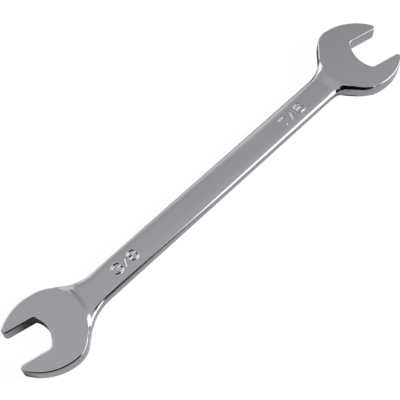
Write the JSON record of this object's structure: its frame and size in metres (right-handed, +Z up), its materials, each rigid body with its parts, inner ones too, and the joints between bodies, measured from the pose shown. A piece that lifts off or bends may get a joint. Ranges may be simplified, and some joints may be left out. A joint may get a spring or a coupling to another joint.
{
  "type": "open end wrench",
  "caption": "Double open end wrench, a flat polished forging with a small jaw head at one end and a large jaw head at the other, both angled to the shank.",
  "frame": {"origin": "middle of the bounding box at the plane that the wrench rests on", "axes": "+X along the shank towards the large head, +Z up out of the flat faces, +Y across the shank"},
  "size_m": [0.1456, 0.0256, 0.0042],
  "materials": {
    "plated_steel": "polished nickel chrome plating with faint polishing lines"
  },
  "bodies": {
    "root": {"wrench_forging": "plated_steel"}
  },
  "joints": []
}
